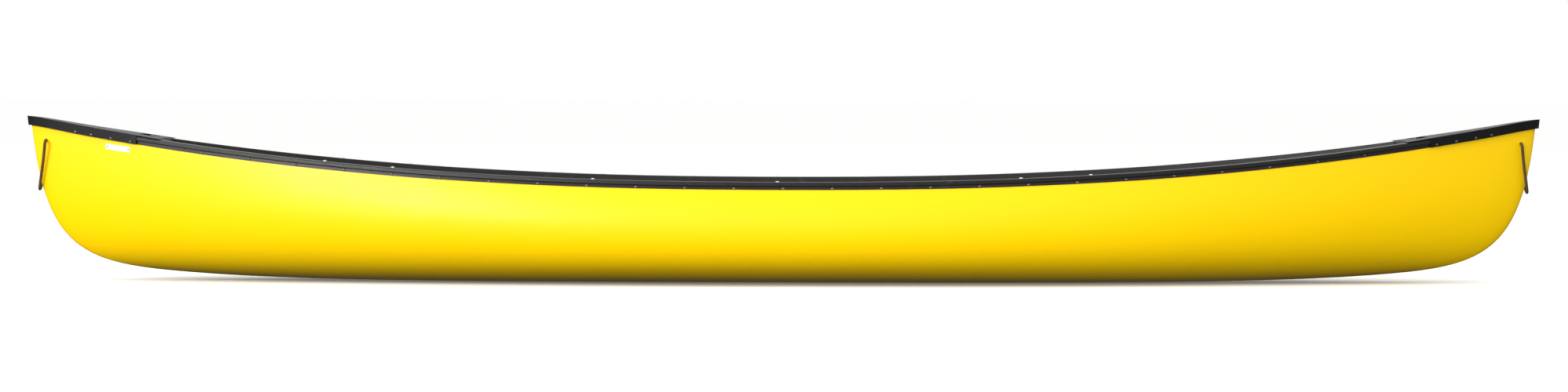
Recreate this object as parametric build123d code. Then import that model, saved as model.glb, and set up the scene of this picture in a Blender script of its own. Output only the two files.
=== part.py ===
from build123d import *
import math
import os

# Tandem touring canoe. Millimetres. +X to the bow, +Y to port, +Z up.
# The origin is on the centre plane, midway between the ends, on the ground line of the keel.

# ---- hull form -------------------------------------------------------------------------------
LENGTH = 5080.0  # hull alone, stem head to stem head
DEPTH = 340.0  # ground to sheer at midships
SHEER_RISE = 207.0  # sheer line, midships to stem head
SHEER_POWER = 2.33
HALF_BEAM = 432.0  # at the sheer, midships
BILGE_BEAM = 472.0  # control half breadth of the bilge
FOREFOOT = 443.0  # from the stem head back to where the keel starts to turn up
KEEL_RISE = 34.0  # keel height at the start of the forefoot
KEEL_POWER = 6.2
PLAN_POWER = 2.4  # fullness of the sheer in plan
KEEL_FINENESS = 0.5  # how much less full the lowest waterlines are
NOSE_ROUND = 0.045  # roundness of the stem
WALL = 6.0
BOTTOM_WALL = 8.0
STEM_WALL = 24.0  # solid laminate behind the stem edge
SECTION_SHAPE = [(0, 0), (0.41, 0), (1.04, -0.018), (1.0, 0.324), (0.983, 0.682)]
STEM_SHAPE = [(1.0, 0.0), (0.46, 0.047), (0.187, 0.14), (0.061, 0.458), (0.0, 1.0)]

# ---- gunwales: aluminium box inwale, slot for the hull, outer rail and riveted lip ---------------
RUN_SHORT = 160.0  # each gunwale ends this far from the stem head
CLEAR = 0.3  # between parts that lie along each other
RAIL_OUT = 9.0
RAIL_TALL = 12.0  # below the sheer
LIP_DEEP = 23.0
LIP_THICK = 2.0
TOP_THICK = 3.0
INWALE = 30.0  # inboard reach
INWALE_DEEP = 15.0
BOX_WALL = 2.0
BOLT_INBOARD = 19.0  # bolt line, inboard of the hull's outer face

# ---- fasteners ---------------------------------------------------------------------------------
RIVET_PITCH = 161.0
RIVET_FREE = 70.0  # least room between the last lip rivet and the deck skirt
RIVET_DOWN = 17.5
RIVET_R = 2.4
RIVET_HEAD_R = 4.8
RIVET_HEAD = 1.8
DECK_RIVETS = [362.0, 293.0, 224.0, 168.0]  # back from the stem head
HOLE_GAP = 0.12  # radial, between a shank and its hole
BOLT_R = 3.0
BOLT_HEAD_R = 7.5
BOLT_HEAD = 3.2
WASHER_R = 8.0
WASHER = 1.4
NUT_AF = 10.0
NUT = 5.0
BOLT_PROUD = 3.0  # thread past the nut

# ---- deck plates -------------------------------------------------------------------------------
DECK_LONG = 460.0  # from the inboard edge to the stem head
SKIRT_LONG = 379.0  # side skirts, back from the stem head
DECK_GAP = 0.5
DECK_WALL = 2.4
DECK_UP = 10.8  # middle of the plate above the sheer at its inboard edge
DECK_FALL = 0.01  # lost for each mm towards the stem
DECK_CROWN = 5200.0  # radius of the plate's crown
SKIRT_DEEP = 24.0
GRIP = 30.0  # width of the carrying bar
GRIP_DEEP = 16.0
SLOT_LONG = 58.0
SLOT_WIDE = 150.0

# ---- seats, yoke and thwart ---------------------------------------------------------------------
BOW_SEAT = (780.0, 1011.0)
STERN_SEAT = (-1289.0, -1517.0)
YOKE_X = -20.0
THWART_X = -626.0
SEAT_DROP = 62.0
SEAT_RAIL = (38.0, 21.0)
SEAT_WIDE = 340.0  # between the outer faces of the side stiles
STILE = 32.0
WEB = 4.0  # thickness of the woven wrap
SPACER_R = 12.5
END_GAP = 3.0  # between a rail's end and the hull
YOKE_WIDE = 92.0
YOKE_END = 52.0
YOKE_THICK = 21.0
NECK_DIP = 34.0
THWART_WIDE = 50.0
THWART_WAIST = 40.0
THWART_THICK = 20.0

# ---- grab loops and capacity plate --------------------------------------------------------------
CORD = 10.0
LOOP_X = 2484.0
LOOP_Z = 470.0
LOOP_HOLE_GAP = 0.6
KNOT_R = 10.5
PLATE = (90.0, 18.0, 1.0)
PLATE_BACK = 313.0  # plate centre, ahead of the stern stem head
PLATE_BELOW = 47.0  # plate centre below the sheer
PLATE_RIVET_R = 2.6
PLATE_SHANK_R = 1.5
PLATE_RIVETS = 78.0  # apart

HALF = LENGTH / 2
RUN = HALF - RUN_SHORT
DECK_IN = HALF - DECK_LONG
SKIRT_IN = HALF - SKIRT_LONG
RIVET_PAIRS = int((SKIRT_IN - RIVET_FREE) // RIVET_PITCH)  # lip rivets each way from midships
TOP_Z = DEPTH + SHEER_RISE


def bezier(control, s):
    n = len(control) - 1
    terms = [math.comb(n, i) * (1 - s) ** (n - i) * s**i for i in range(n + 1)]
    return tuple(sum(w * c[k] for w, c in zip(terms, control)) for k in (0, 1))


def form_point(t, v, inset=0.0, lift=0.0, end_inset=0.0):
    """Half breadth side of the hull form: t runs stern to bow (-1..1), v keel to sheer (0..1)."""
    section = [(y * BILGE_BEAM, z * DEPTH) for y, z in SECTION_SHAPE] + [(HALF_BEAM, DEPTH)]
    section = [(y - inset if i else 0, z + lift * (1 - z / DEPTH)) for i, (y, z) in enumerate(section)]
    rise = TOP_Z - KEEL_RISE
    stem = [(HALF - end_inset - x * FOREFOOT, KEEL_RISE + lift + z * rise) for x, z in STEM_SHAPE]
    y_mid, z_mid = bezier(section, v)
    length, z_end = bezier(stem, v)
    along = math.sin(math.pi * t / 2)
    share = min(abs(along), 1.0)
    below = max(0.0, 1 - v)
    w = 1 - share ** (PLAN_POWER - KEEL_FINENESS * below)
    y = y_mid * math.sqrt((w * w + 2 * w * NOSE_ROUND) / (1 + 2 * NOSE_ROUND))
    z = z_mid + (z_end - z_mid) * share ** (SHEER_POWER + (KEEL_POWER - SHEER_POWER) * below**2)
    return Vector(length * along, 0.0 if abs(t) >= 1 else y, z)


def form(inset=0.0, lift=0.0, end_inset=0.0, top=1.0, columns=24, rows=14):
    """Closed body bounded by both sides of the hull form and a ruled cap across the sheer."""
    across = [i / columns for i in range(-columns, columns + 1)]
    levels = [top * j / rows for j in range(rows + 1)]
    grid = [[form_point(t, v, inset, lift, end_inset) for t in across] for v in levels]
    port = Face.make_surface_from_array_of_points(grid, tol=0.01, min_deg=3, max_deg=3)
    starboard = port.mirror(Plane.XZ)
    edges = [max(side.edges(), key=lambda e: (e @ 0.5).Z) for side in (port, starboard)]
    return Solid(Shell([port, starboard, Face.make_surface_from_curves(*edges)]))


def t_at(x):
    return 2 / math.pi * math.asin(max(-1.0, min(1.0, x / HALF)))


def form_at(x, z, **cut):
    """The (t, v) where a form's surface has this x and z."""
    low, high = 0.0, 1.0
    t = 0.0
    for _ in range(40):
        v = (low + high) / 2
        length = form_point(1.0, v, **cut).X
        t = 2 / math.pi * math.asin(max(-1.0, min(1.0, x / length)))
        if form_point(t, v, **cut).Z < z:
            low = v
        else:
            high = v
    return t, v


def sheer(x):
    return form_point(t_at(x), 1.0)


def half_breadth(x, z, **cut):
    t, v = form_at(x, z, **cut)
    return form_point(t, v, **cut).Y


CAVITY = {"inset": WALL, "lift": BOTTOM_WALL, "end_inset": STEM_WALL}


def skin(x):
    """Thickness of the hull side at its rim."""
    p, out, _ = side_frame(x)
    return (p.Y - half_breadth(x, p.Z - 2, **CAVITY)) * out.Y


def side_frame(x, down=0.0, side=1):
    """Hull outer face at x, this far below the sheer: point, outward normal and way to the bow."""
    t, v = form_at(x, sheer(x).Z - down) if down else (t_at(x), 1.0)
    p, out, fore = skin_frame(t, v)
    return tuple(Vector(v.X, side * v.Y, v.Z) for v in (p, out, fore))


def skin_frame(t, v):
    fore = form_point(t + 1e-4, v) - form_point(t - 1e-4, v)
    up = form_point(t, v) - form_point(t, v - 0.01)
    return form_point(t, v), up.cross(fore).normalized(), fore.normalized()


def rail_section(x, outline):
    """Places a gunwale outline square to the sheer: out is +X of the outline, up is +Y."""
    slot = -skin(x) - 3 * CLEAR
    t = t_at(x)
    p = form_point(t, 1.0)
    fore = (form_point(t + 1e-4, 1.0) - form_point(t - 1e-4, 1.0)).normalized()
    out = Vector(-fore.Y, fore.X, 0).normalized()
    up = fore.cross(out)
    side = form_point(t, 0.975) - p
    down = Vector(side.dot(out), side.dot(up)).normalized()
    square = Vector(-down.Y, down.X)

    def place(q):
        return p + out * q.X + up * q.Y

    def on_skin(away, below):
        return square * away + down * below

    def at_level(away, level):
        return square * away + down * ((level - square.Y * away) / down.Y)

    return Wire([edge(place) for edge in outline(on_skin, at_level, slot)])


def line(a, b):
    return lambda place: Edge.make_line(place(a), place(b))


def corner(a, b, centre):
    mid = (a - centre + b - centre).normalized() * (a - centre).length + centre
    return lambda place: Edge.make_three_point_arc(place(a), place(mid), place(b))


def gunwale_outline(on_skin, at_level, slot):
    top = CLEAR + TOP_THICK
    r = 3.0
    a = Vector(-INWALE + r, top)
    b = Vector(RAIL_OUT - r, top)
    c = Vector(RAIL_OUT, top - r)
    d = Vector(RAIL_OUT, r - RAIL_TALL)
    e = Vector(RAIL_OUT - r, -RAIL_TALL)
    lip_out = CLEAR + LIP_THICK
    f = at_level(lip_out, -RAIL_TALL)
    g = on_skin(lip_out, LIP_DEEP)
    h = on_skin(CLEAR, LIP_DEEP)
    i = at_level(CLEAR, CLEAR)
    j = at_level(slot, CLEAR)
    k = at_level(slot, -INWALE_DEEP)
    m = Vector(-INWALE, -INWALE_DEEP)
    n = Vector(-INWALE, top - r)
    return [
        line(a, b), corner(b, c, Vector(RAIL_OUT - r, top - r)), line(c, d),
        corner(d, e, Vector(RAIL_OUT - r, r - RAIL_TALL)), line(e, f), line(f, g), line(g, h),
        line(h, i), line(i, j), line(j, k), line(k, m), line(m, n),
        corner(n, a, Vector(-INWALE + r, top - r)),
    ]


def box_outline(on_skin, at_level, slot):
    inner = slot - BOX_WALL
    a = Vector(-INWALE + BOX_WALL, CLEAR + TOP_THICK - BOX_WALL)
    b = at_level(inner, CLEAR + TOP_THICK - BOX_WALL)
    c = at_level(inner, BOX_WALL - INWALE_DEEP)
    d = Vector(-INWALE + BOX_WALL, -INWALE_DEEP + BOX_WALL)
    return [line(a, b), line(b, c), line(c, d), line(d, a)]


def run_along(outline, reach, stations=10):
    xs = [reach * math.sin(math.pi / 2 * i / stations) for i in range(-stations, stations + 1)]
    return Solid.make_loft([rail_section(x, outline) for x in xs])


def box(x, y, z, size):
    """Box centred on x and y, standing on z."""
    return Pos(x, y, z + size[2] / 2) * Box(*size)


def rod(p, direction, r, length):
    """Round bar from p along direction."""
    plane = Plane(origin=p, z_dir=direction)
    return plane * Pos(0, 0, length / 2) * Cylinder(r, length)


# ---- hull and gunwales ---------------------------------------------------------------------------
def rivet_places():
    """Every gunwale rivet of one side: x, and how far its head stands off the hull's skin."""
    lip = [(i * RIVET_PITCH, CLEAR + LIP_THICK) for i in range(-RIVET_PAIRS, RIVET_PAIRS + 1)]
    skirt = [(s * (HALF - x), RAIL_OUT + DECK_GAP + DECK_WALL) for x in DECK_RIVETS for s in (-1, 1)]
    return lip + skirt


def rivet_line(x, side):
    p, out, _ = side_frame(x, RIVET_DOWN, side)
    return p, out


def dome(r, tall):
    """Domed head standing on the XY plane."""
    ball = (r**2 + tall**2) / (2 * tall)
    return (Pos(0, 0, tall - ball) * Sphere(ball)) & box(0, 0, 0, (3 * r, 3 * r, 3 * r))


def rivets(side, places):
    group = []
    for x, stand in places:
        p, out = rivet_line(x, side)
        head = Plane(origin=p + out * (stand + CLEAR), z_dir=out) * dome(RIVET_HEAD_R, RIVET_HEAD)
        shank = rod(p + out * CLEAR, out, RIVET_R, stand + CLEAR / 2)
        group += (head + shank).solids()
    return group


def rivet_holes(side, places):
    holes = []
    for x, _ in places:
        p, out = rivet_line(x, side)
        holes.append(rod(p, out, RIVET_R + HOLE_GAP, RAIL_OUT + DECK_GAP + DECK_WALL + 4))
    return holes


def bolt_y(x):
    p, out, _ = side_frame(x)
    return p.Y - BOLT_INBOARD / out.Y


def bolt_places():
    return [(x, side * bolt_y(x)) for x in (*BOW_SEAT, *STERN_SEAT, YOKE_X, THWART_X) for side in (1, -1)]


def gunwale(side):
    body = run_along(gunwale_outline, RUN) - run_along(box_outline, RUN)
    bores = [Pos(x, y, sheer(x).Z) * Cylinder(BOLT_R + HOLE_GAP, 60) for x, y in bolt_places() if y > 0]
    body = body - rivet_holes(1, rivet_places()) - bores
    return body if side > 0 else body.mirror(Plane.XZ)


def hull():
    body = form() - form(**CAVITY, top=1.08)
    bore = Rot(90, 0, 0) * Cylinder(CORD / 2 + LOOP_HOLE_GAP, 120)
    return body - [Pos(s * LOOP_X, 0, LOOP_Z) * bore for s in (1, -1)]


# ---- deck plates, drawn for the bow ----------------------------------------------------------------
def deck_block(away, low, high, steps=14):
    """Solid horseshoe that follows the hull's side at this distance, between two levels."""
    t_in = t_at(DECK_IN - 60)
    rims = []
    for z in (low, high):
        side = []
        for i in range(steps + 1):
            t = t_in + (1 - t_in) * i / steps
            p, out, _ = skin_frame(t, 1.0)
            p = p + out * away
            rise = form_point(t, 1.0) - form_point(t, 0.975)
            p = p + rise * ((z - p.Z) / rise.Z)
            side.append(Vector(p.X, 0 if i == steps else p.Y, z))
        rims.append(side + [Vector(p.X, -p.Y, p.Z) for p in side[-2::-1]])
    curves = [Edge.make_spline(rim) for rim in rims]
    chords = [Edge.make_line(rim[-1], rim[0]) for rim in rims]
    ends = [Edge.make_line(rims[0][k], rims[1][k]) for k in (0, -1)]
    faces = [Face(Wire([curve, chord])) for curve, chord in zip(curves, chords)]
    faces.append(Face(Wire([chords[0], ends[0], chords[1], ends[1]])))
    return Solid(Shell([*faces, Face.make_surface_from_curves(*curves)]))


def deck_top(x):
    return sheer(min(x, HALF)).Z + DECK_UP - (x - DECK_IN) * DECK_FALL


def deck_band(drop, depth):
    """Everything from depth below the sheer up to drop below the crowned top."""
    wide = 260.0
    sections = []
    for x in (DECK_IN - 40, DECK_IN + 80, DECK_IN + 200, HALF - 140, HALF - 40, HALF + 60):
        middle = deck_top(x) - drop
        edge = middle - wide**2 / (2 * DECK_CROWN)
        bottom = sheer(min(x, HALF)).Z - depth
        top = Edge.make_three_point_arc((x, -wide, edge), (x, 0, middle), (x, wide, edge))
        rest = [(x, wide, edge), (x, wide, bottom), (x, -wide, bottom), (x, -wide, edge)]
        sections.append(Wire([top, *[Edge.make_line(a, b) for a, b in zip(rest, rest[1:])]]))
    return Solid.make_loft(sections)


def deck():
    low = sheer(DECK_IN).Z - 60
    high = TOP_Z + 60
    wide = 600.0
    skirt = RAIL_OUT + DECK_GAP
    inboard = box(SKIRT_IN - wide / 2, 0, low, (wide, wide, high - low))
    outboard = box(DECK_IN + wide / 2, 0, low - 20, (wide, wide, wide))
    hollow = deck_band(DECK_WALL, 40) & (deck_block(skirt, low, high) + inboard)
    body = (deck_block(skirt + DECK_WALL, low, high) & deck_band(0, SKIRT_DEEP) & outboard) - hollow
    bar_half = sheer(DECK_IN + GRIP).Y - INWALE - 3
    bar = box(DECK_IN + GRIP / 2, 0, low, (GRIP, 2 * bar_half, high - low))
    bar = bar & deck_band(0, GRIP_DEEP - DECK_UP)
    slot = Pos(DECK_IN + GRIP + SLOT_LONG / 2, 0, low) * extrude(
        RectangleRounded(SLOT_LONG, SLOT_WIDE, SLOT_LONG / 2 - 1), amount=high - low
    )
    holes = [h for side in (1, -1) for h in rivet_holes(side, [(HALF - x, 0) for x in DECK_RIVETS])]
    return (body + bar) - slot - holes


# ---- crossbars and seats ----------------------------------------------------------------------------
def slope(x):
    return abs(sheer(x + 1).Z - sheer(x - 1).Z) / 2


def under_inwale(x, reach):
    """Highest level for something this wide that bears up against the inwale at x."""
    return sheer(x).Z - INWALE_DEEP - slope(x) * (reach + INWALE_DEEP) - CLEAR


def bar_half(x, wide, top, thick):
    """Half length of a crossbar whose ends stand clear of the hull's inner face."""
    corners = [(x + s * wide / 2, z) for s in (1, -1) for z in (top, top - thick)]
    return min(half_breadth(cx, z, **CAVITY) for cx, z in corners) - END_GAP


def bolt_bores(x, tall=400):
    return [Pos(x, side * bolt_y(x), DEPTH) * Cylinder(BOLT_R + HOLE_GAP, tall) for side in (1, -1)]


def crossbar(x, end, thick, edge, soften):
    """Wooden bar under the inwales; edge(half) gives the outline of its +X side from port to starboard."""
    top = under_inwale(x, end / 2)
    half = bar_half(x, end, top, thick)
    fore, aft = edge(half)
    outline = [Edge.make_spline([Vector(*q) for q in side]) for side in (fore, aft)]
    ends = [Edge.make_line(fore[k], aft[k]) for k in (0, -1)]
    body = Pos(x, 0, top - thick) * extrude(Face(Wire([*outline, *ends])), amount=thick, dir=(0, 0, 1))
    long_edges = [e for e in body.edges() if e.length > half]
    return fillet(long_edges, soften) - bolt_bores(x)


def yoke_edge(half):
    end, wide = YOKE_END / 2, YOKE_WIDE / 2
    fore = [(end, 1.0), (end + 1, 0.8), (wide - 8, 0.5)]
    fore += [(wide, 0.27), (wide - 12, 0.14), (wide - NECK_DIP, 0)]
    aft = [(-end, 1.0), (-end - 1, 0.8), (8 - wide, 0.5), (2 - wide, 0.27), (-wide, 0.14), (-wide, 0)]
    return [mirrored([(x, k * half) for x, k in side]) for side in (fore, aft)]


def mirrored(side):
    """Points from port to the centre plane, and on to starboard."""
    return side + [(x, -y) for x, y in side[-2::-1]]


def thwart_edge(half):
    end, waist = THWART_WIDE / 2, THWART_WAIST / 2
    side = [(end, 1.0), (end - 1, 0.75), (waist, 0.35), (waist, -0.35), (end - 1, -0.75), (end, -1.0)]
    return [[(s * x, k * half) for x, k in side] for s in (1, -1)]


def seat_level(xs):
    return min(under_inwale(x, SPACER_R) for x in xs) - SEAT_DROP


def seat_rail(xs, k):
    wide, thick = SEAT_RAIL
    top = seat_level(xs)
    half = bar_half(xs[k], wide, top, thick)
    body = box(xs[k], 0, top - thick, (wide, 2 * half, thick))
    return fillet([e for e in body.edges() if e.length > half], 5) - bolt_bores(xs[k])


def seat_stiles(xs):
    wide, thick = SEAT_RAIL
    gap = abs(xs[1] - xs[0]) - wide
    top = seat_level(xs)
    middle = (xs[0] + xs[1]) / 2
    place = (SEAT_WIDE - STILE) / 2
    bar = fillet(box(0, 0, 0, (gap, STILE, thick)).edges().filter_by(Axis.X), 5)
    return [Pos(middle, s * place, top - thick) * bar for s in (1, -1)]


def seat_webbing(xs):
    """Woven panel wrapped round the seat frame."""
    wide, thick = SEAT_RAIL
    middle = (xs[0] + xs[1]) / 2
    long = abs(xs[1] - xs[0]) + wide
    top = seat_level(xs)
    body = box(middle, 0, top - thick - WEB, (long + 2 * WEB, SEAT_WIDE + 2 * WEB, thick + 2 * WEB))
    body = fillet(body.edges(), WEB - 0.5)
    foot = top - thick - CLEAR
    inside = box(middle, 0, foot, (long + 2 * CLEAR, SEAT_WIDE + 2 * CLEAR, thick + 2 * CLEAR))
    rails = box(middle, 0, foot, (long + 2 * CLEAR, 3 * SEAT_WIDE, thick + 2 * CLEAR))
    opening = (long - 2 * wide, SEAT_WIDE - 2 * STILE, thick + 2 * WEB)
    gap = rails - box(middle, 0, top - 3 * thick, (opening[0], 4 * SEAT_WIDE, 9 * thick))
    return body - inside - gap - box(middle, 0, top - thick - 2 * WEB, opening)


def seat_spacers(xs):
    posts = []
    for x in xs:
        top = under_inwale(x, SPACER_R)
        post = tube_up(SPACER_R, BOLT_R + HOLE_GAP, top - seat_level(xs))
        posts += [Pos(x, side * bolt_y(x), seat_level(xs)) * post for side in (1, -1)]
    return posts


def tube_up(outer, inner, tall):
    """Round tube standing on the XY plane."""
    return Pos(0, 0, tall / 2) * (Cylinder(outer, tall) - Cylinder(inner, tall + 1))


def bolt_stack(x):
    """Level of the head's seat, and of the underside of the wood that the bolt holds."""
    seat = sheer(x).Z + CLEAR + TOP_THICK + slope(x) * (BOLT_HEAD_R + TOP_THICK) + HOLE_GAP
    for xs in (BOW_SEAT, STERN_SEAT):
        if x in xs:
            return seat, seat_level(xs) - SEAT_RAIL[1]
    end, thick = (YOKE_END, YOKE_THICK) if x == YOKE_X else (THWART_WIDE, THWART_THICK)
    return seat, under_inwale(x, end / 2) - thick


def bolts(xs):
    group = []
    for x in xs:
        head, foot = bolt_stack(x)
        foot -= WASHER + NUT + BOLT_PROUD
        bolt = Pos(0, 0, head) * dome(BOLT_HEAD_R, BOLT_HEAD) + rod_up(foot, head + 0.5)
        group += [Pos(x, side * bolt_y(x), 0) * bolt for side in (1, -1)]
    return group


def rod_up(low, high):
    return Pos(0, 0, (low + high) / 2) * Cylinder(BOLT_R, high - low)


def washers():
    ring = tube_up(WASHER_R, BOLT_R + HOLE_GAP, WASHER)
    return [Pos(x, y, bolt_stack(x)[1] - WASHER) * ring for x, y in bolt_places()]


def nuts():
    nut = extrude(RegularPolygon(NUT_AF / math.sqrt(3), 6) - Circle(BOLT_R), amount=NUT)
    return [Pos(x, y, bolt_stack(x)[1] - WASHER - NUT) * nut for x, y in bolt_places()]


# ---- grab loops and plate -----------------------------------------------------------------------------
# Bow loop, from the top of its knot, through the hull, round the stem and back to the knot.
LOOP_ROUTE = [
    (2492, 39, 410), (2487, 48, 446), (2485, 50, 462), (2484, 43, 470), (2484, -43, 470), (2485, -50, 462),
    (2487, -48, 446), (2491, -41, 414), (2497, -33, 378), (2503, -25, 345), (2508, -16, 318),
    (2511, -7, 305), (2511, 7, 305), (2508, 16, 318), (2503, 25, 345), (2498, 33, 374),
]


def loop_cord(end):
    points = [Vector(end * x, y, z) for x, y, z in LOOP_ROUTE]
    radii = []
    for a, b, c in zip(points, points[1:], points[2:]):
        turn = math.radians((b - a).get_angle(c - b))
        radii.append(0.45 * min((b - a).length, (c - b).length) / math.tan(turn / 2))
    path = FilletPolyline(*points, radius=radii)
    tube = sweep(Plane(origin=points[0], z_dir=points[1] - points[0]) * Circle(CORD / 2), path=path)
    ideal = math.pi * CORD**2 / 4 * path.length
    print(f"loop {path.length:.1f} mm, volume ratio {tube.volume / ideal:.4f}")
    print("bend radii", [round(r) for r in radii])
    return tube


def loop_knot(end):
    top, bottom = [Vector(end * x, y, z) for x, y, z in (LOOP_ROUTE[0], LOOP_ROUTE[-1])]
    barrel = rod(bottom, top - bottom, KNOT_R, (top - bottom).length)
    return fillet(barrel.edges().filter_by(GeomType.CIRCLE), 3.5)


def plate_frame():
    p, out, fore = side_frame(PLATE_BACK - HALF, PLATE_BELOW, -1)
    return Plane(origin=p + out * CLEAR, x_dir=fore, z_dir=out)


def plate():
    outline = RectangleRounded(PLATE[0], PLATE[1], 2.5)
    body = extrude(outline, amount=PLATE[2])
    bore = Cylinder(PLATE_SHANK_R + HOLE_GAP, 9)
    return plate_frame() * (body - [Pos(s * PLATE_RIVETS / 2, 0, 0) * bore for s in (1, -1)])


def plate_rivets():
    thick = PLATE[2]
    shank = Pos(0, 0, thick / 2 + 0.1) * Cylinder(PLATE_SHANK_R, thick + 0.2)
    one = Pos(0, 0, thick + 0.05) * dome(PLATE_RIVET_R, 1.1) + shank
    return [plate_frame() * Pos(s * PLATE_RIVETS / 2, 0, 0) * one for s in (1, -1)]


def solids(shape):
    """Every solid of a shape or of a list of shapes."""
    return [s for item in shape for s in item.solids()] if isinstance(shape, list) else list(shape.solids())


def write(name, shape):
    export_step(Compound(label=name, children=solids(shape)), f"parts/{name}.step")


def turned(shape):
    """The same piece at the other end of the boat."""
    return [s.mirror(Plane.YZ) for s in solids(shape)]


os.makedirs("parts", exist_ok=True)
write("hull", hull())
port_gunwale = gunwale(1)
write("port_gunwale", port_gunwale)
write("starboard_gunwale", port_gunwale.mirror(Plane.XZ))
lip = [q for q in rivet_places() if abs(q[0]) <= RIVET_PAIRS * RIVET_PITCH]
skirt = [q for q in rivet_places() if abs(q[0]) > RIVET_PAIRS * RIVET_PITCH]
write("port_gunwale_rivets", rivets(1, lip))
write("starboard_gunwale_rivets", rivets(-1, lip))
bow_deck = deck()
write("bow_deck", bow_deck)
write("stern_deck", turned(bow_deck))
write("bow_deck_rivets", [r for s in (1, -1) for r in rivets(s, [q for q in skirt if q[0] > 0])])
write("stern_deck_rivets", [r for s in (1, -1) for r in rivets(s, [q for q in skirt if q[0] < 0])])
write("centre_yoke", crossbar(YOKE_X, YOKE_END, YOKE_THICK, yoke_edge, 7))
write("stern_thwart", crossbar(THWART_X, THWART_WIDE, THWART_THICK, thwart_edge, 7))
for name, xs in (("bow_seat", BOW_SEAT), ("stern_seat", STERN_SEAT)):
    write(f"{name}_front_rail", seat_rail(xs, 0 if xs[0] > xs[1] else 1))
    write(f"{name}_rear_rail", seat_rail(xs, 1 if xs[0] > xs[1] else 0))
    write(f"{name}_stiles", seat_stiles(xs))
    write(f"{name}_webbing", seat_webbing(xs))
    write(f"{name}_spacers", seat_spacers(xs))
    write(f"{name}_bolts", bolts(xs))
write("crossbar_bolts", bolts((YOKE_X, THWART_X)))
write("washers", washers())
write("nuts", nuts())
for name, end in (("bow", 1), ("stern", -1)):
    write(f"{name}_grab_loop", loop_cord(end))
    write(f"{name}_loop_knot", loop_knot(end))
write("capacity_plate", plate())
write("plate_rivets", plate_rivets())
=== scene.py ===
import bpy
import math
from mathutils import Matrix, Vector


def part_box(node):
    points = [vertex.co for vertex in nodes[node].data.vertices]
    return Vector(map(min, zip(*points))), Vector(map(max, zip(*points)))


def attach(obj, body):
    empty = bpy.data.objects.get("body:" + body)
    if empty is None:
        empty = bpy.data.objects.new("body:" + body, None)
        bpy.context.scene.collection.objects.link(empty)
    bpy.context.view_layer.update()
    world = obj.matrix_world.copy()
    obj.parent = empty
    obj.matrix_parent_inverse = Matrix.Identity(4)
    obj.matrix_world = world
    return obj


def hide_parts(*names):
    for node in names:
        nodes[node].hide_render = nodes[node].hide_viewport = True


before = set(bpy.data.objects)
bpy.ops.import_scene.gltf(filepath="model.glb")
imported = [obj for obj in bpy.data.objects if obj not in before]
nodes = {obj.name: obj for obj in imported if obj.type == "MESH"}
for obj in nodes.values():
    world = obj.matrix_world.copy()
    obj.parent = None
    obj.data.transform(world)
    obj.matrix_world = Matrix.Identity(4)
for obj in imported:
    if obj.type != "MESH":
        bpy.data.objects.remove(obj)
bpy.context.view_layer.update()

# ---- sizes, in metres ---------------------------------------------------------------------------
CORD = 0.010
KNOT_R = 0.0102
STRAP_WIDE = 0.05
STRAP_THICK = 0.0016
SEAT_WRAP = 0.0036  # the woven panel stands this far off the frame
STRAP_GAP = 0.005  # least room between straps
PANEL_WRAP = 0.004  # thickness of the panel's own solid
STRAP_TUCK = 0.026  # strap turned under the frame
STRAP_CORNER = 0.004  # radius of the turn over the frame's edge
KNOT_TURNS = 4.0
FLOOR_RADIUS = 400.0
FLOOR_DOWN = 0.001  # floor below the keel, so that the two never share a plane

# ---- camera ---------------------------------------------------------------------------------------
CAMERA_ALONG = 0.002
CAMERA_AWAY = 14.0
CAMERA_HIGH = 0.65
PITCH_DOWN = 1.485
ROLL = 0.14
LENS = 95.2
SENSOR = 36.0

# ---- light, in watts ------------------------------------------------------------------------------
WORLD_LIGHT = 1.0
KEY_LIGHT = 1650
FRONT_LIGHT = 950
TOP_LIGHT = 200
SHEEN_LIGHT = 1100


def make_camera():
    data = bpy.data.cameras.new("camera")
    camera = bpy.data.objects.new("camera", data)
    bpy.context.scene.collection.objects.link(camera)
    data.lens, data.sensor_width, data.sensor_fit = LENS, SENSOR, "HORIZONTAL"
    data.clip_end = 200
    data.dof.use_dof = False
    tilt = Matrix.Rotation(math.radians(90 - PITCH_DOWN), 4, "X")
    roll = Matrix.Rotation(math.radians(ROLL), 4, "Z")
    camera.matrix_world = Matrix.Translation((CAMERA_ALONG, -CAMERA_AWAY, CAMERA_HIGH)) @ tilt @ roll
    bpy.context.scene.camera = camera


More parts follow.
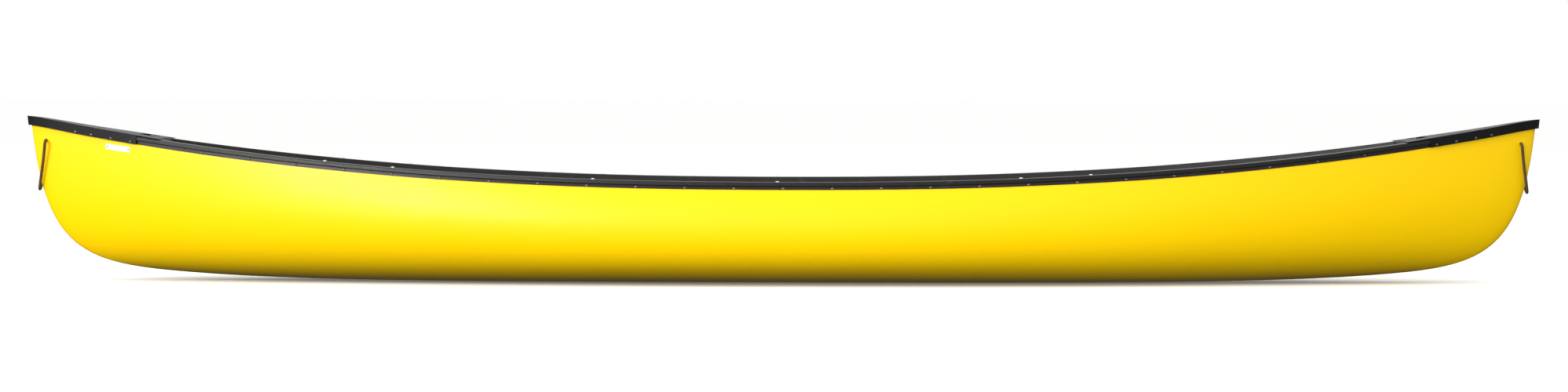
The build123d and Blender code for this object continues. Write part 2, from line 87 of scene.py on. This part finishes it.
# ---- materials ------------------------------------------------------------------------------------
class Shader:
    """A material being built: shorthand for adding nodes and joining them."""

    def __init__(self, name, **plain):
        self.material = bpy.data.materials.new(name)
        self.material.use_nodes = True
        self.tree = self.material.node_tree
        self.surface = self.tree.nodes["Principled BSDF"]
        for socket, value in plain.items():
            self.surface.inputs[socket.replace("_", " ")].default_value = value

    def add(self, kind, inputs=None, **settings):
        node = self.tree.nodes.new("ShaderNode" + kind)
        for key, value in settings.items():
            setattr(node, key, value)
        for key, value in (inputs or {}).items():
            if isinstance(value, bpy.types.NodeSocket):
                self.tree.links.new(value, node.inputs[key])
            else:
                node.inputs[key].default_value = value
        return node

    def place(self):
        return self.add("TexCoord").outputs["Object"]

    def stretched(self, scale, turn=(0, 0, 0)):
        inputs = {"Vector": self.place(), "Scale": scale, "Rotation": turn}
        return self.add("Mapping", inputs).outputs["Vector"]

    def noise(self, scale, vector=None, detail=3.0, rough=0.55):
        inputs = {"Vector": vector or self.place(), "Scale": scale, "Detail": detail, "Roughness": rough}
        return self.add("TexNoise", inputs).outputs["Fac"]

    def maths(self, operation, a, b=0.0, c=0.0):
        return self.add("Math", {0: a, 1: b, 2: c}, operation=operation).outputs[0]

    def ramp(self, factor, *stops):
        node = self.add("ValToRGB", {"Fac": factor})
        while len(node.color_ramp.elements) < len(stops):
            node.color_ramp.elements.new(0.5)
        for element, (at, colour) in zip(node.color_ramp.elements, stops):
            element.position = at
            element.color = (*colour, 1) if hasattr(colour, "__len__") else (colour, colour, colour, 1)
        return node.outputs["Color"]

    def span(self, factor, low, high, a=0.0, b=1.0):
        inputs = {"Value": factor, "From Min": a, "From Max": b, "To Min": low, "To Max": high}
        return self.add("MapRange", inputs).outputs["Result"]

    def mix(self, factor, a, b):
        inputs = {"Factor": factor, 6: a, 7: b}
        return self.add("Mix", inputs, data_type="RGBA").outputs[2]

    def bump(self, height, distance, strength=1.0, under=None):
        inputs = {"Height": height, "Distance": distance, "Strength": strength}
        if under:
            inputs["Normal"] = under
        return self.add("Bump", inputs).outputs["Normal"]

    def use(self, socket, value):
        self.tree.links.new(value, self.surface.inputs[socket])


def rgb(r, g, b):
    return (r, g, b, 1.0)


def scratches(s, scale, width):
    """Fine worn lines, 1 on a line and 0 off it."""
    warp = s.noise(scale * 0.4)
    wave = s.add("TexWave", {"Vector": s.place(), "Scale": scale, "Distortion": 9.0, "Detail": 2.0})
    line = s.span(wave.outputs["Fac"], 1.0, 0.0, 0.0, width)
    return s.maths("MULTIPLY", line, s.span(warp, 0.0, 1.0, 0.55, 0.7))


def hull_outside():
    s = Shader("hull yellow gelcoat", Specular_IOR_Level=0.2, Coat_Weight=0.04, Coat_Roughness=0.2)
    shade = s.noise(1.3, detail=2.0)
    colour = s.mix(shade, rgb(0.91, 0.565, 0.0), rgb(0.95, 0.61, 0.001))
    height = s.add("SeparateXYZ", {"Vector": s.place()}).outputs["Z"]
    scuffed = s.span(height, 1.0, 0.0, 0.01, 0.09)
    marks = s.maths("MULTIPLY", scratches(s, 34.0, 0.05), scuffed)
    marks = s.maths("MULTIPLY", marks, 0.45)
    s.use("Base Color", s.mix(marks, colour, rgb(0.62, 0.47, 0.09)))
    s.use("Roughness", s.span(s.noise(9.0), 0.30, 0.40))
    ripple = s.bump(s.noise(2.6, detail=1.0), 0.004, 0.25)
    s.use("Normal", s.bump(s.noise(900.0), 0.0002, 0.12, ripple))
    return s.material


def hull_inside():
    s = Shader("hull grey liner")
    speck = s.noise(650.0, detail=2.0)
    dust = s.noise(4.0)
    colour = s.mix(s.span(speck, 0.0, 1.0, 0.4, 0.66), rgb(0.40, 0.41, 0.41), rgb(0.55, 0.56, 0.55))
    s.use("Base Color", s.mix(s.span(dust, 0.0, 0.3, 0.45, 0.75), colour, rgb(0.36, 0.34, 0.30)))
    s.use("Roughness", s.span(dust, 0.45, 0.62))
    s.use("Normal", s.bump(s.noise(330.0, detail=4.0), 0.0006, 0.5))
    return s.material


def black_alloy():
    s = Shader("gunwale black anodising", Metallic=0.15, Specular_IOR_Level=0.3)
    drawn = s.noise(30.0, s.stretched((1.0, 60.0, 60.0)), detail=4.0)
    wear = s.noise(22.0, detail=5.0)
    base = s.mix(drawn, rgb(0.008, 0.0075, 0.007), rgb(0.018, 0.0165, 0.016))
    s.use("Base Color", s.mix(s.span(wear, 0.0, 0.35, 0.62, 0.8), base, rgb(0.075, 0.070, 0.066)))
    s.use("Roughness", s.span(drawn, 0.30, 0.44))
    s.use("Normal", s.bump(drawn, 0.0003, 0.25))
    return s.material


def dark_rivet():
    s = Shader("rivet dark alloy", Metallic=0.85)
    rub = s.noise(420.0)
    bare = s.span(rub, 0.0, 1.0, 0.4, 0.7)
    s.use("Base Color", s.mix(bare, rgb(0.05, 0.05, 0.052), rgb(0.22, 0.215, 0.21)))
    s.use("Roughness", s.span(rub, 0.28, 0.48))
    return s.material


def deck_plastic():
    s = Shader("deck moulded plastic", Specular_IOR_Level=0.14)
    grain = s.add("TexVoronoi", {"Vector": s.place(), "Scale": 620.0}, feature="SMOOTH_F1")
    haze = s.noise(6.0)
    s.use("Base Color", s.mix(haze, rgb(0.003, 0.0032, 0.003), rgb(0.008, 0.0078, 0.0076)))
    s.use("Roughness", s.span(haze, 0.34, 0.46))
    s.use("Normal", s.bump(grain.outputs["Distance"], 0.0004, 0.5))
    return s.material


def ash_wood():
    s = Shader("ash wood oiled", Coat_Weight=0.25, Coat_Roughness=0.25)
    along = s.stretched((14.0, 1.0, 14.0))
    waves = {"Vector": along, "Scale": 3.2, "Distortion": 7.0, "Detail": 3.0}
    rings = s.add("TexWave", waves, bands_direction="X")
    pores = s.noise(38.0, s.stretched((40.0, 2.2, 40.0)), detail=5.0)
    shades = ((0.0, (0.58, 0.40, 0.21)), (0.55, (0.70, 0.52, 0.30)), (1.0, (0.43, 0.27, 0.12)))
    grain = s.ramp(rings.outputs["Fac"], *shades)
    s.use("Base Color", s.mix(s.span(pores, 0.0, 0.6, 0.55, 0.75), grain, rgb(0.27, 0.16, 0.07)))
    s.use("Roughness", s.span(pores, 0.34, 0.55))
    s.use("Normal", s.bump(pores, 0.0005, 0.3))
    return s.material


def webbing(direction):
    """Polyester webbing whose length runs along X or Y."""
    s = Shader(f"black webbing {direction}", Sheen_Weight=0.08, Sheen_Roughness=0.5)
    split = s.add("SeparateXYZ", {"Vector": s.place()}).outputs
    across = "X" if direction == "Y" else "Y"
    ribs = s.maths("MULTIPLY", split[across], 2 * math.pi / 0.0030)
    picks = s.maths("MULTIPLY", split[direction], 2 * math.pi / 0.0022)
    wavy = s.maths("ADD", ribs, s.maths("MULTIPLY", s.maths("SINE", picks), 0.8))
    rib = s.span(s.maths("SINE", wavy), 0.0, 1.0, -1.0, 1.0)
    s.use("Base Color", s.mix(rib, rgb(0.005, 0.005, 0.006), rgb(0.024, 0.024, 0.026)))
    s.use("Roughness", s.span(s.noise(60.0), 0.66, 0.82))
    s.use("Normal", s.bump(rib, 0.0006, 0.9))
    return s.material


def bright_steel():
    s = Shader("stainless fastener", Metallic=1.0)
    turned = s.noise(500.0, s.stretched((1.0, 1.0, 6.0)))
    s.use("Base Color", s.mix(turned, rgb(0.55, 0.55, 0.54), rgb(0.72, 0.72, 0.71)))
    s.use("Roughness", s.span(turned, 0.18, 0.34))
    s.use("Normal", s.bump(turned, 0.0001, 0.3))
    return s.material


def braided_cord():
    s = Shader("braided cord", Sheen_Weight=0.05, Sheen_Roughness=0.4)
    tex = s.add("TexCoord").outputs["UV"]
    split = s.add("SeparateXYZ", {"Vector": tex}).outputs
    a = s.maths("MULTIPLY", split["X"], 2 * math.pi * 110)
    b = s.maths("MULTIPLY", split["Y"], 2 * math.pi * 6)
    left = s.maths("SINE", s.maths("ADD", a, b))
    right = s.maths("SINE", s.maths("SUBTRACT", a, b))
    braid = s.span(s.maths("MAXIMUM", left, right), 0.0, 1.0, -0.6, 1.0)
    s.use("Base Color", s.mix(braid, rgb(0.020, 0.011, 0.002), rgb(0.105, 0.055, 0.010)))
    s.use("Roughness", s.span(s.noise(800.0), 0.62, 0.82))
    s.use("Normal", s.bump(braid, 0.0007, 0.8))
    return s.material


def white_plate():
    s = Shader("plate enamel", Coat_Weight=0.2)
    grime = s.noise(90.0)
    dirt = s.span(grime, 0.0, 0.5, 0.5, 0.8)
    s.use("Base Color", s.mix(dirt, rgb(0.86, 0.84, 0.84), rgb(0.66, 0.63, 0.58)))
    s.use("Roughness", s.span(grime, 0.30, 0.5))
    s.use("Normal", s.bump(s.noise(300.0), 0.0001, 0.3))
    return s.material


def set_material(obj, *materials):
    obj.data.materials.clear()
    for material in materials:
        obj.data.materials.append(material)


def smooth(obj, angle=35.0):
    """Shades a mesh smooth, with its corners kept sharp."""
    mesh = obj.data
    mesh.shade_smooth()
    mesh.set_sharp_from_angle(angle=math.radians(angle))


# ---- CAD nodes --------------------------------------------------------------------------------------
def dress_hull():
    """Yellow on the faces that look outwards, grey on the faces that look into the boat."""
    obj = nodes["hull"]
    set_material(obj, hull_outside(), hull_inside())
    for face in obj.data.polygons:
        c, n = face.center, face.normal
        out = n.y * math.copysign(1, c.y) + n.x * math.copysign(1, c.x) * 0.8 - n.z * 0.8
        face.material_index = 0 if out > 0 else 1
    smooth(obj, 30)


def dress_frame():
    alloy, rivet, plastic = black_alloy(), dark_rivet(), deck_plastic()
    wood, steel = ash_wood(), bright_steel()
    for name, obj in nodes.items():
        if name.endswith("gunwale"):
            set_material(obj, alloy)
        elif name.endswith("rivets"):
            set_material(obj, rivet)
        elif name.endswith("_deck"):
            set_material(obj, plastic)
        elif name.endswith(("rail", "stiles", "spacers", "yoke", "thwart")):
            set_material(obj, wood)
        elif name.endswith(("bolts", "washers", "nuts")):
            set_material(obj, steel)
        elif name == "capacity_plate":
            set_material(obj, white_plate())
        else:
            continue
        smooth(obj)


# ---- woven seats ----------------------------------------------------------------------------------
def ribbon(path, wide_axis, wide, thick):
    """Vertices and faces of a closed flat strap: path points in the plane square to wide_axis."""
    verts, faces = [], []
    wide_axis = Vector(wide_axis)
    count = len(path)
    for i, p in enumerate(path):
        ahead = path[min(i + 1, count - 1)] - path[max(i - 1, 0)]
        up = wide_axis.cross(ahead).normalized() * (thick / 2)
        for edge, lift in ((-0.5, -0.55), (0.5, -0.55), (0.5, 0.55), (0.0, 1.0), (-0.5, 0.55)):
            verts.append(p + wide_axis * (edge * wide) + up * lift)
    ring = 5
    for i in range(count - 1):
        for k in range(ring):
            a, b = i * ring + k, i * ring + (k + 1) % ring
            faces.append((a, b, b + ring, a + ring))
    faces.append(tuple(range(ring))[::-1])
    faces.append(tuple((count - 1) * ring + k for k in range(ring)))
    return verts, faces


def wrapped_path(low, high, top, bottom, crossings, lift, axis):
    """Strap centre line over a frame: tucked under one side, woven across and tucked under the other.

    crossings are (place along, +1 over or -1 under) at each strap that it crosses."""
    other = 1 - axis
    gap = SEAT_WRAP / 2
    points = []

    def at(along, z):
        p = Vector((0, 0, z))
        p[axis] = along
        p[other] = 0
        points.append(p)

    round_r = STRAP_CORNER
    at(low + STRAP_TUCK, bottom - gap * 0.6)
    at(low + round_r, bottom - gap * 0.6)
    at(low - gap * 0.7, bottom + round_r)
    at(low - gap * 0.7, (top + bottom) / 2)
    at(low - gap * 0.7, top - round_r)
    at(low + round_r, top + gap * 0.6)
    for along, side in crossings:
        for shift in (-0.3, 0.0, 0.3):
            at(along + shift * STRAP_WIDE, top + gap * 0.6 + side * lift * (1.0 if shift == 0 else 0.85))
    at(high - round_r, top + gap * 0.6)
    at(high + gap * 0.7, top - round_r)
    at(high + gap * 0.7, (top + bottom) / 2)
    at(high + gap * 0.7, bottom + round_r)
    at(high - round_r, bottom - gap * 0.6)
    at(high - STRAP_TUCK, bottom - gap * 0.6)
    return points


def seat_panel(name, strap_material):
    lo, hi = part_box(f"{name}_webbing")
    wrap = Vector((PANEL_WRAP, PANEL_WRAP, PANEL_WRAP))
    low, high = lo + wrap, hi - wrap
    counts = [round((high[k] - low[k]) / (STRAP_WIDE + STRAP_GAP)) for k in (0, 1)]
    pitch = [(high[k] - low[k]) / counts[k] for k in (0, 1)]
    pieces = []
    for axis in (0, 1):
        other = 1 - axis
        for n in range(counts[other]):
            across = low[other] + (n + 0.5) * pitch[other]
            crossings = [
                (low[axis] + (m + 0.5) * pitch[axis], 1 if (m + n + axis) % 2 else -1)
                for m in range(counts[axis])
            ]
            lift = STRAP_THICK * 0.55
            path = wrapped_path(low[axis], high[axis], high.z, low.z, crossings, lift, axis)
            for p in path:
                p[other] += across
            verts, faces = ribbon(path, (0, 1, 0) if axis == 0 else (1, 0, 0), STRAP_WIDE, STRAP_THICK)
            mesh = bpy.data.meshes.new(f"{name}_strap_{axis}_{n}")
            mesh.from_pydata(verts, [], faces)
            obj = bpy.data.objects.new(mesh.name, mesh)
            bpy.context.scene.collection.objects.link(obj)
            obj.data.materials.append(strap_material["XY"[axis]])
            mesh.shade_smooth()
            rounded = obj.modifiers.new("round", "SUBSURF")
            rounded.levels = rounded.render_levels = 2
            pieces.append(obj)
    for piece in pieces:
        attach(piece, "canoe")
        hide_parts(f"{name}_webbing")


# ---- grab loops -----------------------------------------------------------------------------------
# Bow loop, from the top of its knot, through the hull, round the stem and back to the knot.
LOOP_ROUTE = [
    (2.492, 0.039, 0.410), (2.487, 0.048, 0.446), (2.485, 0.050, 0.462), (2.484, 0.043, 0.470),
    (2.484, 0.032, 0.470), (2.484, -0.032, 0.470),
    (2.484, -0.043, 0.470), (2.485, -0.050, 0.462), (2.487, -0.048, 0.446), (2.491, -0.041, 0.414),
    (2.497, -0.033, 0.378), (2.503, -0.025, 0.345), (2.508, -0.016, 0.318), (2.511, -0.007, 0.305),
    (2.511, 0.007, 0.305), (2.508, 0.016, 0.318), (2.503, 0.025, 0.345), (2.498, 0.033, 0.374),
]


def tube_curve(name, points, radius, material):
    data = bpy.data.curves.new(name, "CURVE")
    data.dimensions = "3D"
    data.bevel_depth = radius
    data.bevel_resolution = 5
    data.resolution_u = 10
    data.use_fill_caps = True
    spline = data.splines.new("NURBS")
    spline.points.add(len(points) - 1)
    for point, place in zip(spline.points, points):
        point.co = (*place, 1)
    spline.order_u = 3
    spline.use_endpoint_u = True
    obj = bpy.data.objects.new(name, data)
    bpy.context.scene.collection.objects.link(obj)
    data.materials.append(material)
    return obj


def centre_line(obj):
    """Points along the middle of a cord, read from its own spline."""
    bare = obj.data.copy()
    bare.bevel_depth = 0
    holder = bpy.data.objects.new("bare", bare)
    line = [v.co.copy() for v in bpy.data.meshes.new_from_object(holder).vertices]
    bpy.data.objects.remove(holder)
    return line


def barrel_knot(name, top, bottom, material):
    """The cord wound round itself into a barrel, with a core that closes its middle."""
    axis = (bottom - top).normalized()
    side = axis.cross(Vector((1, 0, 0))).normalized()
    third = axis.cross(side)
    wound = KNOT_R - CORD * 0.42
    length = (bottom - top).length - CORD * 0.9
    steps = int(KNOT_TURNS * 12)
    points = []
    for i in range(steps + 1):
        angle = 2 * math.pi * KNOT_TURNS * i / steps
        along = CORD * 0.45 + length * i / steps
        round_axis = side * (wound * math.cos(angle)) + third * (wound * math.sin(angle))
        points.append(top + axis * along + round_axis)
    coil = tube_curve(name, points, CORD * 0.46, material)
    middle = [top + axis * 0.001, (top + bottom) / 2, bottom - axis * 0.001]
    core = tube_curve(f"{name}_core", middle, CORD / 2, material)
    return coil, core


def grab_loop(end, name, material):
    points = [Vector((end * x, y, z)) for x, y, z in LOOP_ROUTE]
    cord = tube_curve(f"{name}_loop_cord", points, CORD / 2, material)
    body = f"{name}_loop"
    line = centre_line(cord)
    knot = barrel_knot(f"{name}_loop_barrel", line[0], line[-1], material)
    for piece in (cord, *knot):
        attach(piece, body)
    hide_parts(f"{name}_grab_loop")
    for piece in knot:
        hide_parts(f"{name}_loop_knot")


# ---- studio ---------------------------------------------------------------------------------------
def make_floor():
    """A wide pale floor that takes the object's soft shadow and throws no light back up at it."""
    mesh = bpy.data.meshes.new("floor")
    turns = [math.pi * k / 48 for k in range(96)]
    verts = [(FLOOR_RADIUS * math.cos(a), FLOOR_RADIUS * math.sin(a), -FLOOR_DOWN) for a in turns]
    mesh.from_pydata(verts, [], [tuple(range(96))])
    floor = bpy.data.objects.new("floor", mesh)
    bpy.context.scene.collection.objects.link(floor)
    paint = Shader(
        "pale floor", Base_Color=rgb(0.86, 0.86, 0.855), Roughness=0.9, Specular_IOR_Level=0.2,
        Emission_Color=rgb(1.0, 1.0, 1.0), Emission_Strength=0.12,
    )
    mesh.materials.append(paint.material)
    floor.visible_diffuse = floor.visible_glossy = False


def area_light(name, place, target, size, power, in_gloss=True, in_diffuse=True):
    data = bpy.data.lights.new(name, "AREA")
    data.shape = "RECTANGLE"
    data.size, data.size_y = size
    data.energy = power
    light = bpy.data.objects.new(name, data)
    bpy.context.scene.collection.objects.link(light)
    light.location = place
    light.rotation_euler = (Vector(target) - Vector(place)).to_track_quat("-Z", "Y").to_euler()
    light.visible_glossy = in_gloss
    light.visible_diffuse = in_diffuse


def make_world():
    """White all round and above, dark underfoot."""
    world = bpy.data.worlds.new("studio")
    bpy.context.scene.world = world
    world.use_nodes = True
    tree = world.node_tree
    coordinates = tree.nodes.new("ShaderNodeTexCoord")
    split = tree.nodes.new("ShaderNodeSeparateXYZ")
    ramp = tree.nodes.new("ShaderNodeValToRGB")
    span = tree.nodes.new("ShaderNodeMapRange")
    span.inputs["From Min"].default_value = -1.0
    tree.links.new(coordinates.outputs["Generated"], split.inputs["Vector"])
    tree.links.new(split.outputs["Z"], span.inputs["Value"])
    tree.links.new(span.outputs["Result"], ramp.inputs["Fac"])
    tree.links.new(ramp.outputs["Color"], tree.nodes["Background"].inputs["Color"])
    stops = [(0.0, 0.03), (0.40, 0.06), (0.49, 0.30), (0.495, 1.0), (1.0, 1.0)]
    while len(ramp.color_ramp.elements) < len(stops):
        ramp.color_ramp.elements.new(0.5)
    for element, (at, grey) in zip(ramp.color_ramp.elements, stops):
        element.position = at
        element.color = (grey, grey, grey, 1)
    tree.nodes["Background"].inputs["Strength"].default_value = WORLD_LIGHT


def make_lights():
    make_world()
    area_light("key", (-13.0, -9.0, 5.0), (-1.0, 0, 0.3), (6, 5), KEY_LIGHT)
    area_light("front", (-1.0, -12.0, 1.5), (-0.3, 0, 0.2), (9, 2.4), FRONT_LIGHT, in_gloss=False)
    area_light("top", (0, 0, 8.0), (0, 0, 0), (9, 5), TOP_LIGHT)
    area_light("sheen", (-7.0, -12.5, 1.6), (-1.6, 0, 0.35), (5, 3), SHEEN_LIGHT, in_diffuse=False)
    bpy.context.scene.view_settings.view_transform = "Standard"


make_camera()
cord_material = braided_cord()
grab_loop(1, "bow", cord_material)
grab_loop(-1, "stern", cord_material)
dress_hull()
dress_frame()
straps = {"X": webbing("X"), "Y": webbing("Y")}
seat_panel("bow_seat", straps)
seat_panel("stern_seat", straps)
make_floor()
make_lights()
